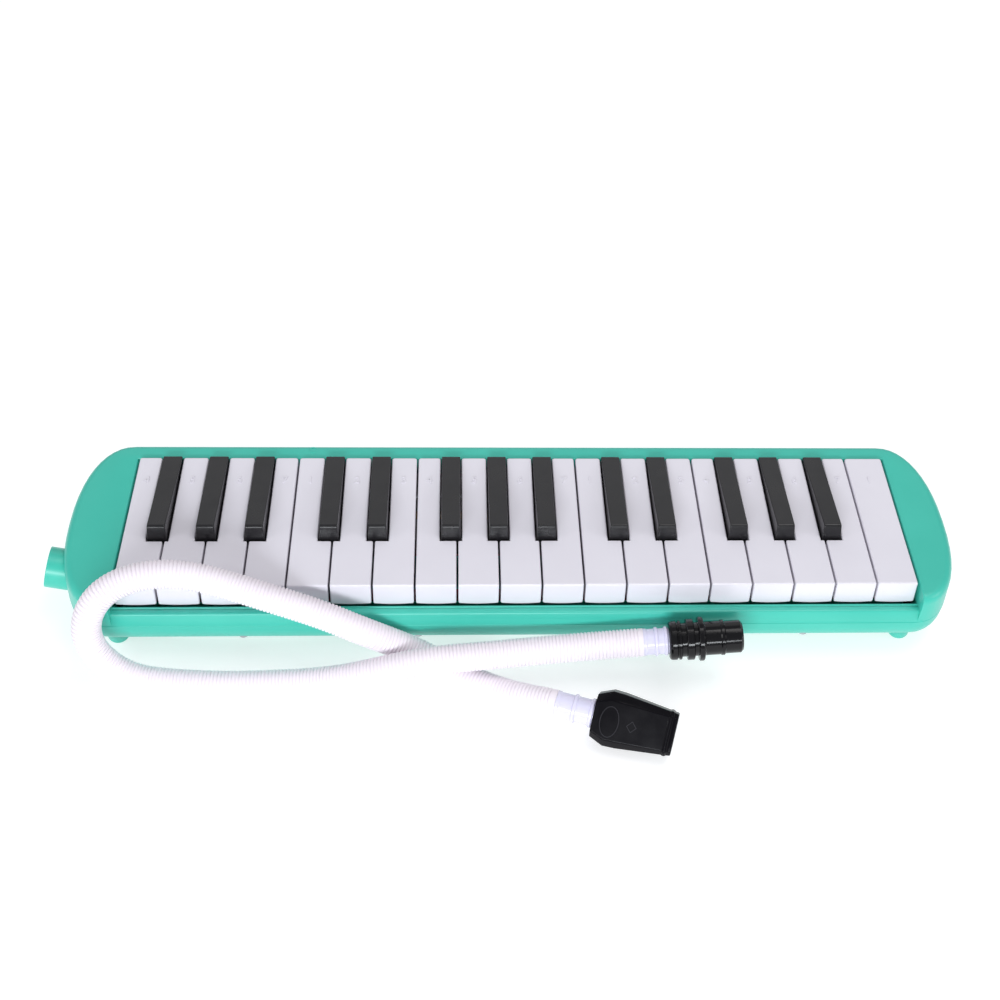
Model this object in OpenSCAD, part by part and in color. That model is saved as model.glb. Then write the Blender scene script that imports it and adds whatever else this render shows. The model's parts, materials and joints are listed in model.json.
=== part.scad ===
// Melodica, 32 keys, with its free hose, hose plug and mouthpiece.
// X runs along the keyboard (bass at -X), Y from the player to the back, Z up from the feet.

/* [Keyboard] */
// Distance between the centres of neighbouring white keys
key_pitch = 19.3; // [18.8:0.1:19.3]
// Length of a white key's top
key_len = 81.5; // [80:0.5:82]
// Gap between neighbouring keys
key_gap = 0.9; // [0.7:0.1:1.2]
// Height of the white key tops above the floor
key_top = 39; // [39:0.5:40]
// Rise of a black key above the white keys, at its front
black_rise = 6.9; // [5:0.1:8]
// Width of a black key at its foot
black_w = 9.2; // [8.8:0.1:9.6]

/* [Case] */
// Length of the case without the blow socket
case_len = 418; // [418:1:424]
// Depth of the case, front to back
case_depth = 103; // [103:1:106]
// Thickness of the case walls
wall = 2.2; // [1.8:0.1:2.4]
// Radius of the case's top shoulder
shoulder_r = 4; // [3:0.5:4.5]
// Diameter of a foot
foot_d = 10; // [8:0.5:11]

/* [Air path] */
// Bore of the blow socket
socket_bore = 15; // [14:0.1:15.4]
// Outer diameter of the blow socket
socket_d = 19; // [18:0.1:19]
// Upward tilt of the blow socket, in degrees
socket_tilt = 15; // [12:1:16]
// Diameter of the key axle
axle_d = 2; // [1.8:0.1:2.2]

/* [Hose] */
// Outer diameter of the corrugated hose
hose_d = 13; // [12:0.5:13]
// Diameter of the plug's straight end
plug_d = 14.8; // [14:0.1:15]
// Length of the mouthpiece
mouth_len = 36.5; // [34:0.5:44]

/* [Hidden] */
$fn = 48;
eps = 0.01;

// Case levels, from the floor up
foot_h = 6;
split_z = 22;
top_z = 37.5;
rail_top_z = 28;
keel_r = 13;
draft = 0.7;
seam = 0.3;
case_cx = 5;
end_x = 24.5;
end_power = 2.3;
end_steps = 22;
half_len = case_len / 2;
half_depth = case_depth / 2;
floor_z = foot_h + wall;
foot_x = 184.3;
foot_y = 40.3;

// Keyboard places
keys_cx = 7;
whites = 19;
key_front_y = -42;
key_rear_y = key_front_y + key_len;
key_front_slope = 1.9;
black_front_y = -13.9;
black_taper = 0.5;
black_rear_rise = 1;
key_wall = 1.3;
key_roof = 2.2;
skirt_z = 28;
deep_skirt_z = 24.7;
key_plate_z = key_top - key_roof;
opening_x0 = keys_cx - whites * key_pitch / 2 - 1;
opening_x1 = keys_cx + whites * key_pitch / 2 + 1;
opening_rear_y = key_rear_y + 1.2;
opening_front_y = -44.8;

// Key mechanism
axle_y = 24;
axle_z = 27;
axle_fit = 0.05;
tail_w = 7.6;
tail_end_y = 45;
tail_z = deep_skirt_z;
tail_h = 2.6;
pad_y0 = 36;
pad_w = 7;
pad_gap = 0.05;
fin_w = 2.4;

// Air chamber under the key tails
chamber_x0 = -180.5;
chamber_x1 = 193.6;
chamber_y0 = 1;
chamber_y1 = 45.4;
tray_z = 11;
tray_top = 18.2;
board_z = 19;
board_top = 22;
thin = 1.6;
inlet_y0 = 6;
inlet_y1 = 22;
inlet_z0 = 13;
inlet_z1 = 17.4;
drain_x = 189.4;
drain_z = 15.2;
spring_rib_y = 34.5;

// Blow socket: a point on its axis, where it leaves the case
socket_at = [-203, -18, 22.5];
socket_out = 8.84;
socket_in = 12;
socket_depth = 14;

// One entry per key from bass to treble: name, centre, left and right half widths of its rear
// part, and true for a black key. An octave runs F G A B C D E.
white_names = ["f", "g", "a", "b", "c", "d", "e"];
// Shift of the black key on the right of each white key from the gap, or undef without one
black_shift = [-3, 0, 3, undef, -1.6, 1.6, undef];
half_w = (key_pitch - key_gap) / 2;
rear_gap = 0.5;
function octave(i) = 3 + floor((i + 3) / 7);
function white_x(i) = keys_cx + (i - (whites - 1) / 2) * key_pitch;
function shift_right(i) = i == whites - 1 ? undef : black_shift[i % 7];
function shift_left(i) = i == 0 ? undef : black_shift[(i - 1) % 7];
function rear_edge(shift) = is_undef(shift) ? half_w : key_pitch / 2 + shift - black_w / 2 - rear_gap;
function white_key(i) = [
    str("key_", white_names[i % 7], octave(i)),
    white_x(i),
    rear_edge(is_undef(shift_left(i)) ? undef : -shift_left(i)),
    rear_edge(shift_right(i)),
    false
];
function black_key(i) = [
    str("key_", white_names[i % 7], "_sharp", octave(i)),
    white_x(i) + key_pitch / 2 + shift_right(i),
    black_w / 2,
    black_w / 2,
    true
];
KEYS = [
    for (i = [0:whites - 1])
        for (key = is_undef(shift_right(i)) ? [white_key(i)] : [white_key(i), black_key(i)])
            key
];
function tail_x(key) = key[1] + (key[3] - key[2]) / 2;
low_keys = 16;

// Fasteners, as [x, y]
end_screws = [[-190, -34], [-190, 34], [201, -32], [201, 32]];
front_screws = [[-120, -47.2], [-40, -47.2], [55, -47.2], [140, -47.2]];
ear_screws = [[-150, -2], [-55, -2], [60, -2], [150, -2]];
comb_screws = [[-161, 17], [-48, 17], [62, 17], [175, 17]];
plate_screws = [[-150.3, 40], [-36, 40], [30.5, 40], [146, 40]];
strap_x = 68;

// Hose centreline from the plug end to the mouthpiece end
hose_route = [
    [62, -62.9, 23.2], [49, -63, 21.9], [36, -63.4, 20.9], [24, -64.2, 20.4],
    [11, -65.4, 20.2], [-2, -67, 20.4], [-15, -68.7, 20.9], [-28, -70.4, 21.6],
    [-41, -72, 20.9], [-54, -73, 17.6], [-67, -73.2, 13.2], [-80, -72.8, 9.3],
    [-94, -72.4, 7.1], [-109, -72.6, 6.6], [-124, -73, 6.6], [-138, -72.4, 6.6],
    [-151, -71.4, 6.7], [-163, -70.4, 7.8], [-173, -68.6, 12], [-180, -66.2, 18.4],
    [-184, -63.8, 25.4], [-185, -61.2, 32], [-183.7, -58.6, 38.2], [-180.2, -55.2, 44.2],
    [-173.4, -51, 49], [-162, -46.9, 51.6], [-148.4, -44.6, 50.8], [-135, -44.5, 47.8],
    [-121, -47, 44.4], [-108, -49.9, 41.4], [-94, -52.4, 37.4], [-80, -55, 33],
    [-67, -58, 27.8], [-55, -58.8, 21.4], [-43, -59.6, 14.6], [-31, -63.2, 9.8],
    [-18, -70.2, 7.2], [-5, -76.6, 6.7], [8, -82.6, 9], [22, -87.9, 11.4]
];
hose_sides = 12;
plug_tilt = 5.5;
mouth_yaw = -18;
mouth_roll = 45;
plug_dir = [cos(plug_tilt), 0, sin(plug_tilt)];
mouth_dir = [cos(mouth_yaw), sin(mouth_yaw), 0];

// ---- Shared shapes ----

function unit(v) = v / norm(v);
function signed_pow(v, p) = sign(v) * pow(abs(v), p);

// Plan of the case: straight sides with fuller than elliptical ends, moved in by inset
function case_plan(inset) = [
    for (side = [1, -1])
        for (i = [0:end_steps])
            let (a = -90 + 180 * i / end_steps)
            [
                case_cx + side * (half_len - end_x + (end_x - inset) * signed_pow(cos(a), 2 / end_power)),
                side * (half_depth - inset) * signed_pow(sin(a), 2 / end_power)
            ]
];

// Closed solid through rings of points that all run the same way round
module skin(rings) {
    n = len(rings[0]);
    last = len(rings) - 1;
    polyhedron(
        points = [for (ring = rings) for (p = ring) p],
        faces = concat(
            [[for (i = [0:n - 1]) i]],
            [for (k = [0:last - 1]) for (i = [0:n - 1])
                for (face = [
                    [k * n + i, (k + 1) * n + i, (k + 1) * n + (i + 1) % n],
                    [k * n + i, (k + 1) * n + (i + 1) % n, k * n + (i + 1) % n]
                ]) face],
            [[for (i = [0:n - 1]) last * n + n - 1 - i]]
        )
    );
}

// Solid of the case's plan through the levels [z, inset]
module loft(levels) {
    skin([for (level = levels) [for (p = case_plan(level[1])) [p[0], p[1], level[0]]]]);
}

module box(x0, x1, y0, y1, z0, z1) {
    translate([x0, y0, z0])
        cube([x1 - x0, y1 - y0, z1 - z0]);
}

// Extrudes a [y, z] outline along X
module along_x(x0, x1, outline) {
    translate([x0, 0, 0])
        rotate([90, 0, 90])
            linear_extrude(x1 - x0)
                polygon(outline);
}

// Extrudes an [x, z] outline along Y
module along_y(y0, y1, outline) {
    translate([0, y1, 0])
        rotate([90, 0, 0])
            linear_extrude(y1 - y0)
                polygon(outline);
}

// ---- Case ----

keel_steps = 9;
shoulder_steps = 5;
function keel_level(a) = [foot_h + keel_r * (1 - sin(a)), keel_r * (1 - cos(a))];
function shoulder_level(a) = [
    top_z - shoulder_r * (1 - sin(a)),
    draft + shoulder_r * (1 - cos(a))
];
lower_outer = concat(
    [for (i = [0:keel_steps]) keel_level(90 - 90 * i / keel_steps)],
    [[split_z - seam, 0], [split_z, seam]]
);
lower_inner = [
    [floor_z, wall + 5.8],
    [floor_z + 1.8, wall + 3.6],
    [floor_z + 3.8, wall + 2],
    [floor_z + 6.3, wall + 0.8],
    [foot_h + keel_r, wall],
    [split_z + 1, wall]
];
upper_outer = concat(
    [[split_z, seam], [split_z + seam, 0]],
    [for (i = [0:shoulder_steps]) shoulder_level(90 * i / shoulder_steps)]
);
upper_inner = [
    [split_z - 1, wall],
    [top_z - shoulder_r, wall + draft],
    [top_z - wall, wall + draft + 2]
];

// Front rail below the keys' fronts: a level ledge with a fine groove, a small rounded edge and a
// face that slopes out to the case's widest line
ledge_y = -48.4;
ledge_r = 1.2;
groove_y = -46.4;
groove_w = 0.6;
groove_h = 0.5;
module front_rail() {
    rail_x0 = opening_x0 - wall;
    rail_x1 = opening_x1 + wall;
    low = [-half_depth, split_z + seam];
    edge = [ledge_y, rail_top_z - ledge_r];
    reach = edge - low;
    // The face runs from low and touches the edge's arc
    lean = atan2(reach[1], reach[0]) + asin(ledge_r / norm(reach));
    difference() {
        along_x(rail_x0, rail_x1, concat(
            [[opening_front_y, split_z], [low[0] + seam, split_z], low],
            arc_points(edge[0], edge[1], ledge_r, lean + 90, 90),
            [[opening_front_y, rail_top_z]]
        ));
        box(rail_x0 + wall, rail_x1 - wall, ledge_y - 0.2, opening_front_y - thin,
            split_z - 1, rail_top_z - wall);
        box(opening_x0, opening_x1, groove_y, groove_y + groove_w,
            rail_top_z - groove_h, rail_top_z + 1);
    }
}

boss_r = 3.4;
screw_r = 1.1;
pilot_r = 1.15;
module case_hole_for_socket() {
    along_socket(-socket_in - 2, socket_out + 5, socket_d / 2 + 0.1);
}

slab_z = 30;
// Limits past the case, for cuts that run right through it
past_y = -60;
past_z0 = 20;
past_z1 = 40;
module upper_case() {
    boss_z = top_z - wall - 1;
    color([0.29, 0.76, 0.67])
    difference() {
        union() {
            difference() {
                loft(upper_outer);
                difference() {
                    loft(upper_inner);
                    box(opening_x0 - wall, opening_x1 + wall, past_y, opening_rear_y + wall,
                        slab_z, past_z1);
                    box(opening_x0 - wall, opening_x1 + wall, past_y, axle_y - 11,
                        past_z0, past_z1);
                }
                box(opening_x0, opening_x1, past_y, opening_rear_y, past_z0, past_z1);
            }
            front_rail();
            for (p = end_screws)
                translate([p[0], p[1], split_z])
                    cylinder(r = boss_r, h = top_z - wall - split_z);
            for (p = front_screws)
                box(p[0] - 3, p[0] + 3, ledge_y - 0.5, opening_front_y - 0.5, split_z, rail_top_z - 1);
        }
        for (p = end_screws)
            translate([p[0], p[1], split_z - 1])
                cylinder(r = pilot_r, h = boss_z - split_z);
        for (p = front_screws)
            translate([p[0], p[1], split_z - 1])
                cylinder(r = pilot_r, h = 5.6);
        case_hole_for_socket();
    }
}

foot_round = 3;
head_r = 2.4;
head_h = 2;
seat_z = 13;
rail_web = 2;
front_rest = [-37, -28, 21.6];
mid_rest = [-11, -5.5, 23.5];
felt_h = 2;
guide_w = 2 * (half_w - key_wall) - 1;

// T-shaped rest for the keys: [y0, y1, top]
module key_rest(rest) {
    mid = (rest[0] + rest[1]) / 2;
    along_x(opening_x0 + 1, opening_x1 - 1, [
        [mid - rail_web / 2, floor_z - 1], [mid + rail_web / 2, floor_z - 1],
        [mid + rail_web / 2, rest[2] - thin], [rest[1], rest[2] - thin], [rest[1], rest[2]],
        [rest[0], rest[2]], [rest[0], rest[2] - thin], [mid - rail_web / 2, rest[2] - thin]
    ]);
}

module foot() {
    r = foot_d / 2;
    rotate_extrude()
        polygon(concat(
            [[0, floor_z + 1.8], [0, 0]],
            [for (i = [0:6])
                [r - foot_round * (1 - sin(i * 15)), foot_round * (1 - cos(i * 15))]],
            [[r, floor_z + 1.8]]
        ));
}

module lower_case() {
    color([0.27, 0.74, 0.65])
    difference() {
        union() {
            difference() {
                loft(lower_outer);
                difference() {
                    loft(lower_inner);
                    for (p = concat(end_screws, front_screws))
                        translate([p[0], p[1], 0])
                            cylinder(r = boss_r, h = split_z);
                }
            }
            key_rest(front_rest);
            key_rest(mid_rest);
            // Guide posts inside the white keys' fronts
            for (key = KEYS)
                if (!key[4])
                    box(key[1] - guide_w / 2, key[1] + guide_w / 2, -30.5, -28.5,
                        front_rest[2] - thin, 31);
            // Ribs that carry the air chamber
            for (x = [-160:50:190])
                box(x, x + rail_web, 5, 42, floor_z - 1, tray_z);
            for (x = [-foot_x, foot_x])
                for (y = [-foot_y, foot_y])
                    translate([case_cx + x, y, 0])
                        foot();
            for (side = [-1, 1])
                translate([side * strap_x, 0, floor_z - 1])
                    cylinder(r = 2.6, h = 3.4);
        }
        for (p = concat(end_screws, front_screws)) {
            translate([p[0], p[1], 0])
                cylinder(r = screw_r + 0.4, h = split_z + 1);
            translate([p[0], p[1], 0])
                cylinder(r = head_r + 0.3, h = seat_z);
        }
        for (side = [-1, 1])
            translate([side * strap_x, 0, 0])
                cylinder(r = pilot_r, h = floor_z + 2);
        // Way out for the drain button
        translate([drain_x, half_depth - 6, drain_z])
            rotate([-90, 0, 0])
                cylinder(r = button_r + 0.2, h = 10);
        case_hole_for_socket();
    }
}

module case_screws() {
    color("silver")
    for (p = concat(end_screws, front_screws))
        translate([p[0], p[1], seat_z - head_h])
            difference() {
                union() {
                    cylinder(r = head_r, h = head_h);
                    cylinder(r = screw_r, h = head_h + (p[1] < -40 ? 13 : 18));
                }
                // Cross slots
                for (a = [0, 90])
                    rotate(a)
                        translate([-1.6, -0.35, -eps])
                            cube([3.2, 0.7, 1.1]);
            }
}

// ---- Keys ----

// Plan of a white key, wide in front of the black keys and narrow beside them
corner_r = 1.2;
notch_y = black_front_y - 1;
function arc_points(x, y, r, a0, a1) = [
    for (i = [0:4])
        let (a = a0 + (a1 - a0) * i / 4)
        [x + r * cos(a), y + r * sin(a)]
];
function white_plan(left, right, inset) =
    let (
        w = half_w - inset,
        r = corner_r,
        y0 = key_front_y - 3,
        y1 = key_rear_y - inset,
        l = left - inset,
        k = right - inset,
        notch = notch_y - inset
    )
    concat(
        [[-w, y0], [w, y0]],
        right < half_w ? [[w, notch], [k, notch]] : [],
        arc_points(k - r, y1 - r, r, 0, 90),
        arc_points(-l + r, y1 - r, r, 90, 180),
        left < half_w ? [[-l, notch], [-w, notch]] : []
    );

module white_plan_solid(key, inset, z0, z1) {
    translate([key[1], 0, z0])
        linear_extrude(z1 - z0)
            polygon(white_plan(key[2], key[3], inset));
}

// Keeps the part behind the sloping front face, moved back by inset
module behind_front(inset) {
    along_x(-250, 250, [
        [key_front_y - key_front_slope + inset, skirt_z - 1], [60, skirt_z - 1],
        [60, key_top + 10], [key_front_y + inset, key_top + 10], [key_front_y + inset, key_top]
    ]);
}

// Rear of a key: deep skirts beside the axle, the tail over its valve and the pad under it
module key_rear(key) {
    x = tail_x(key);
    inner = (key[2] + key[3]) / 2 - key_wall;
    skirt = inner + key_wall;
    difference() {
        box(x - skirt, x + skirt, axle_y - 5, key_rear_y - 1, deep_skirt_z, skirt_z + 1);
        box(x - inner, x + inner, axle_y - 6, 31, deep_skirt_z - 1, skirt_z + 2);
        box(x - inner, x + inner, 30, 36, deep_skirt_z + tail_h, skirt_z + 2);
    }
    box(x - tail_w / 2, x + tail_w / 2, 31, tail_end_y, tail_z, tail_z + tail_h);
}

module axle_bore() {
    translate([-250, axle_y, axle_z])
        rotate([0, 90, 0])
            cylinder(d = axle_d + 2 * axle_fit, h = 500);
}

module valve_pad(key) {
    x = tail_x(key);
    box(x - pad_w / 2, x + pad_w / 2, pad_y0, tail_end_y, board_top + pad_gap, tail_z - pad_gap);
}

module white_key_body(key) {
    difference() {
        union() {
            difference() {
                intersection() {
                    white_plan_solid(key, 0, skirt_z, key_top);
                    behind_front(0);
                }
                intersection() {
                    white_plan_solid(key, key_wall, skirt_z - 1, key_plate_z);
                    behind_front(key_wall);
                }
            }
            key_rear(key);
        }
        axle_bore();
    }
}

// Black key: tapered sides, a top that falls towards the rear and a rounded, sloping front
front_r = 1.6;
function black_top(y) =
    key_top + black_rise
        - (black_rise - black_rear_rise) * (y - black_front_y) / (key_rear_y - black_front_y);

module black_key_body(key) {
    x = key[1];
    w = black_w / 2;
    t = w - black_taper;
    z = key_top + black_rise;
    round_y = black_front_y + 1.7 + front_r;
    round_z = black_top(round_y) - front_r;
    difference() {
        union() {
            difference() {
                intersection() {
                    along_y(black_front_y, key_rear_y, [
                        [x - w, skirt_z], [x + w, skirt_z], [x + w, key_top],
                        [x + t, z], [x - t, z], [x - w, key_top]
                    ]);
                    along_x(x - 10, x + 10, concat(
                        [[key_rear_y, skirt_z], [key_rear_y, black_top(key_rear_y)]],
                        arc_points(round_y, round_z, front_r, 90, 170),
                        [[black_front_y, key_top], [black_front_y, skirt_z]]
                    ));
                }
                box(x - w + key_wall, x + w - key_wall, black_front_y + key_wall, key_rear_y - key_wall,
                    skirt_z - 1, key_plate_z);
                box(x - 2.2, x + 2.2, black_front_y + 3, 1, skirt_z, black_top(1) - key_roof);
                box(x - 2.2, x + 2.2, 9, 25, skirt_z, black_top(25) - key_roof);
            }
            key_rear(key);
        }
        axle_bore();
    }
}

module key_node(key) {
    if (key[4]) {
        color([0.17, 0.16, 0.18])
            black_key_body(key);
    } else {
        color([0.9, 0.89, 0.92])
            white_key_body(key);
    }
    color([0.75, 0.72, 0.66])
        valve_pad(key);
}

module key_axle() {
    color("silver")
    translate([chamber_x0 + 1, axle_y, axle_z])
        rotate([0, 90, 0])
            cylinder(d = axle_d, h = chamber_x1 - chamber_x0 - 2);
}

// Spring comb: one strip on the valve board, with a leaf that presses up under each key
leaf_t = 0.35;
leaf_w = 3;
leaf_y = 5;
leaf_root_y = 14;
strip_y1 = 19;
module key_springs() {
    tip_z = key_plate_z - 0.05;
    color([0.8, 0.62, 0.3]) {
        difference() {
            box(chamber_x0 + 2, chamber_x1 - 2, leaf_root_y, strip_y1, board_top, board_top + leaf_t);
            for (p = comb_screws)
                translate([p[0], p[1], board_top - 1])
                    cylinder(r = screw_r + 0.1, h = 2);
        }
        for (key = KEYS)
            along_x(tail_x(key) - leaf_w / 2, tail_x(key) + leaf_w / 2, [
                [leaf_root_y + 0.1, board_top], [leaf_root_y + 0.1, board_top + leaf_t],
                [leaf_root_y - 0.4, board_top + leaf_t], [leaf_y, tip_z],
                [leaf_y - 1, tip_z], [leaf_y - 1, tip_z - leaf_t],
                [leaf_y - 0.3, tip_z - leaf_t], [leaf_root_y - 0.8, board_top]
            ]);
    }
}

// Two strips on the rests that stop the keys
module key_felt() {
    color([0.55, 0.12, 0.15]) {
        box(opening_x0 + 1, opening_x1 - 1, front_rest[0], front_rest[0] + 5.5,
            front_rest[2], front_rest[2] + felt_h);
        box(opening_x0 + 1, opening_x1 - 1, mid_rest[0], mid_rest[1],
            mid_rest[2], mid_rest[2] + felt_h);
    }
}

// ---- Air path ----

module along_socket(from, to, r) {
    translate(socket_at)
        rotate([0, socket_tilt - 90, 0])
            translate([0, 0, from])
                cylinder(r = r, h = to - from);
}

plenum_x0 = -194.5;
plenum_x1 = -181.2;
plenum_y0 = -28;
plenum_y1 = 24;
plenum_top = 32;
module blow_socket() {
    color([0.25, 0.72, 0.62])
    difference() {
        union() {
            box(plenum_x0, plenum_x1, plenum_y0, plenum_y1, tray_z, plenum_top);
            along_socket(-socket_in, socket_out, socket_d / 2);
        }
        box(plenum_x0 + thin, plenum_x1 - thin, plenum_y0 + thin, plenum_y1 - thin,
            tray_z + thin, plenum_top - thin);
        along_socket(-socket_in - 2, socket_out - socket_depth + eps, socket_bore / 2 - 1.2);
        along_socket(socket_out - socket_depth, socket_out + 1, socket_bore / 2);
        inlet();
    }
}

module inlet() {
    box(plenum_x1 - 3, chamber_x0 + 3, inlet_y0, inlet_y1, inlet_z0, inlet_z1);
}

module socket_gasket() {
    color([0.2, 0.2, 0.2])
    difference() {
        box(plenum_x1, chamber_x0, inlet_y0 - 2.5, inlet_y1 + 2.5, tray_z, tray_top);
        inlet();
    }
}

ear = 4;
module ears(z0, z1) {
    for (p = ear_screws)
        box(p[0] - ear, p[0] + ear, p[1] - ear + 1, chamber_y0 + 1, z0, z1);
}

drain_hole_r = 1.8;
module chamber_tray() {
    color([0.86, 0.86, 0.82])
    difference() {
        union() {
            difference() {
                box(chamber_x0, chamber_x1, chamber_y0, chamber_y1, tray_z, tray_top);
                box(chamber_x0 + thin, chamber_x1 - thin, chamber_y0 + thin, chamber_y1 - thin,
                    tray_z + thin, tray_top + 1);
            }
            ears(tray_z + 3, tray_top);
            // Rib that the drain spring leans on
            box(drain_x - 3, chamber_x1 - 1, spring_rib_y - 1.5, spring_rib_y, tray_z + 1, 17.4);
        }
        inlet();
        for (p = ear_screws)
            translate([p[0], p[1], tray_z])
                cylinder(r = pilot_r, h = 10);
        translate([drain_x, chamber_y1 - 3, drain_z])
            rotate([-90, 0, 0])
                cylinder(r = drain_hole_r, h = 5);
    }
}

module chamber_gasket() {
    color([0.25, 0.25, 0.27])
    difference() {
        box(chamber_x0, chamber_x1, chamber_y0, chamber_y1, tray_top, board_z);
        box(chamber_x0 + thin, chamber_x1 - thin, chamber_y0 + thin, chamber_y1 - thin,
            tray_top - 1, board_z + 1);
    }
}

valve_w = 5;
valve_y0 = 37;
valve_y1 = 43.6;
cell_h = 1.8;
// Closes the chamber: a cell from each reed to its valve hole, and a fin for the axle at each key
module valve_board() {
    color([0.83, 0.83, 0.8])
    difference() {
        union() {
            box(chamber_x0, chamber_x1, chamber_y0, chamber_y1, board_z, board_top);
            ears(board_z, board_top);
            for (x = concat([for (key = KEYS) tail_x(key)], [chamber_x0 + 2, chamber_x1 - 2]))
                box(x - fin_w / 2, x + fin_w / 2, axle_y - 3, axle_y + 3, board_top - 1, axle_z + 2.6);
        }
        for (key = KEYS) {
            x = tail_x(key);
            box(x - valve_w / 2, x + valve_w / 2, 7, valve_y1, board_z - 1, board_z + cell_h);
            box(x - valve_w / 2, x + valve_w / 2, valve_y0, valve_y1, board_z, board_top + 1);
        }
        axle_bore();
        for (p = comb_screws)
            translate([p[0], p[1], board_top - 2])
                cylinder(r = pilot_r, h = 3);
        for (p = plate_screws)
            translate([p[0], p[1], board_z - 1])
                cylinder(r = pilot_r, h = 3);
        for (p = ear_screws)
            translate([p[0], p[1], board_z - 1])
                cylinder(r = screw_r + 0.3, h = 5);
    }
}

plate_h = 1.2;
plate_gap = 0.4;
reed_y = 9;
reed_w = 2.4;
reed_t = 0.3;
// Reeds get shorter from bass to treble
function reed_len(i) = 27 - 15 * i / (len(KEYS) - 1);

module reed_plate(first, last, x0, x1) {
    color([0.83, 0.68, 0.36])
    difference() {
        box(x0, x1, chamber_y0 + thin + plate_gap, chamber_y1 - thin - plate_gap,
            board_z - plate_h, board_z);
        for (i = [first:last])
            box(tail_x(KEYS[i]) - reed_w / 2 - 0.2, tail_x(KEYS[i]) + reed_w / 2 + 0.2,
                reed_y, reed_y + reed_len(i) + 0.4, board_z - plate_h - 1, board_z + 1);
        for (p = plate_screws)
            translate([p[0], p[1], board_z - 3])
                cylinder(r = screw_r + 0.2, h = 4);
    }
}

middle_x = (tail_x(KEYS[low_keys - 1]) + tail_x(KEYS[low_keys])) / 2;
module reed_plate_low() {
    reed_plate(0, low_keys - 1, chamber_x0 + thin + plate_gap, middle_x - 0.3);
}

module reed_plate_high() {
    reed_plate(low_keys, len(KEYS) - 1, middle_x + 0.3, chamber_x1 - 7);
}

// Brass tongues, each with its clamped root in front of the slot
module reeds(first, last) {
    z = board_z - plate_h;
    color([0.9, 0.76, 0.42])
    for (i = [first:last]) {
        x = tail_x(KEYS[i]);
        box(x - reed_w / 2, x + reed_w / 2, reed_y - 3.5, reed_y + reed_len(i), z - reed_t, z);
        box(x - 2, x + 2, reed_y - 4, reed_y - 0.5, z - 1, z - reed_t + eps);
    }
}

module small_screws(places, seat, length, down) {
    color("silver")
    for (p = places)
        translate([p[0], p[1], seat])
            mirror([0, 0, down ? 1 : 0]) {
                cylinder(r = screw_r, h = length);
                translate([0, 0, -1])
                    cylinder(r = 2, h = 1);
            }
}

module reed_screws() {
    small_screws(plate_screws, board_z - plate_h, plate_h + 1.8, false);
}

module board_screws() {
    small_screws(ear_screws, board_top, 6, true);
    small_screws(comb_screws, board_top + leaf_t, leaf_t + 1.8, true);
}

// ---- Drain valve ----

button_r = 3.6;
stem_r = 0.9;
seal_r = 2.4;
seal_y = chamber_y1 - thin;
seal_t = 1.2;
// Button in the rear wall, its stem, and the collar that holds the seal
module drain_button() {
    color([0.3, 0.3, 0.32])
    translate([drain_x, 0, drain_z])
        rotate([-90, 0, 0]) {
            translate([0, 0, chamber_y1 + 2.8])
                cylinder(r = button_r, h = 2.6);
            translate([0, 0, seal_y - seal_t - 1])
                cylinder(r = stem_r, h = chamber_y1 - seal_y + seal_t + 4.8);
            translate([0, 0, seal_y - seal_t - 1])
                cylinder(r = seal_r, h = 1);
        }
}

module drain_seal() {
    color([0.8, 0.3, 0.25])
    translate([drain_x, seal_y - seal_t, drain_z])
        rotate([-90, 0, 0])
            difference() {
                cylinder(r = seal_r, h = seal_t - 0.03);
                translate([0, 0, -1])
                    cylinder(r = stem_r, h = seal_t + 2);
            }
}

// Coil between the tray's rib and the seal's collar
coil_turns = 4;
coil_steps = 12;
coil_r = 1.6;
wire_d = 0.5;
coil_y0 = spring_rib_y + wire_d / 2 + 0.05;
coil_y1 = seal_y - seal_t - 1.05 - wire_d / 2;
coil_rise = (coil_y1 - coil_y0) / (coil_turns * 360);
module drain_spring() {
    angles = [for (i = [0:coil_turns * coil_steps]) i * 360 / coil_steps];
    color("silver")
    tube(
        [for (a = angles) [drain_x + coil_r * cos(a), coil_y0 + coil_rise * a, drain_z + coil_r * sin(a)]],
        [for (a = angles) unit([-sin(a), coil_rise * 180 / PI / coil_r, cos(a)])],
        wire_d / 2, 8, [0, 1, 0]
    );
}

// ---- Hand strap under the case ----

strap_w = 30;
strap_t = 1.6;
module hand_strap() {
    far = strap_x + 10;
    near = strap_x - 8;
    dip = near - 14;
    z = foot_h;
    color([0.2, 0.2, 0.22])
    difference() {
        along_y(-strap_w / 2, strap_w / 2, [
            [-far, z], [-far, z - strap_t], [-near, z - strap_t], [-dip, z - strap_t - 1.8],
            [dip, z - strap_t - 1.8], [near, z - strap_t], [far, z - strap_t], [far, z],
            [near, z], [dip, z - 1.8], [-dip, z - 1.8], [-near, z]
        ]);
        for (side = [-1, 1])
            translate([side * strap_x, 0, 0])
                cylinder(r = screw_r + 0.2, h = foot_h + 1);
    }
}

module strap_screws() {
    color("silver")
    for (side = [-1, 1])
        translate([side * strap_x, 0, foot_h - strap_t - 1.4]) {
            cylinder(r = 3, h = 1.4);
            cylinder(r = screw_r, h = 6.6);
        }
}

// ---- Hose, plug and mouthpiece ----

// Tube of radius r along route: one ring of points at each of its points, square to the way
// given in ways, with no way parallel to up
module tube(route, ways, r, sides, up) {
    skin([
        for (i = [0:len(route) - 1])
            let (u = unit(cross(up, ways[i])), v = cross(ways[i], u))
            [for (k = [0:sides - 1])
                route[i] + r * (cos(360 * k / sides) * u + sin(360 * k / sides) * v)]
    ]);
}

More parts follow.
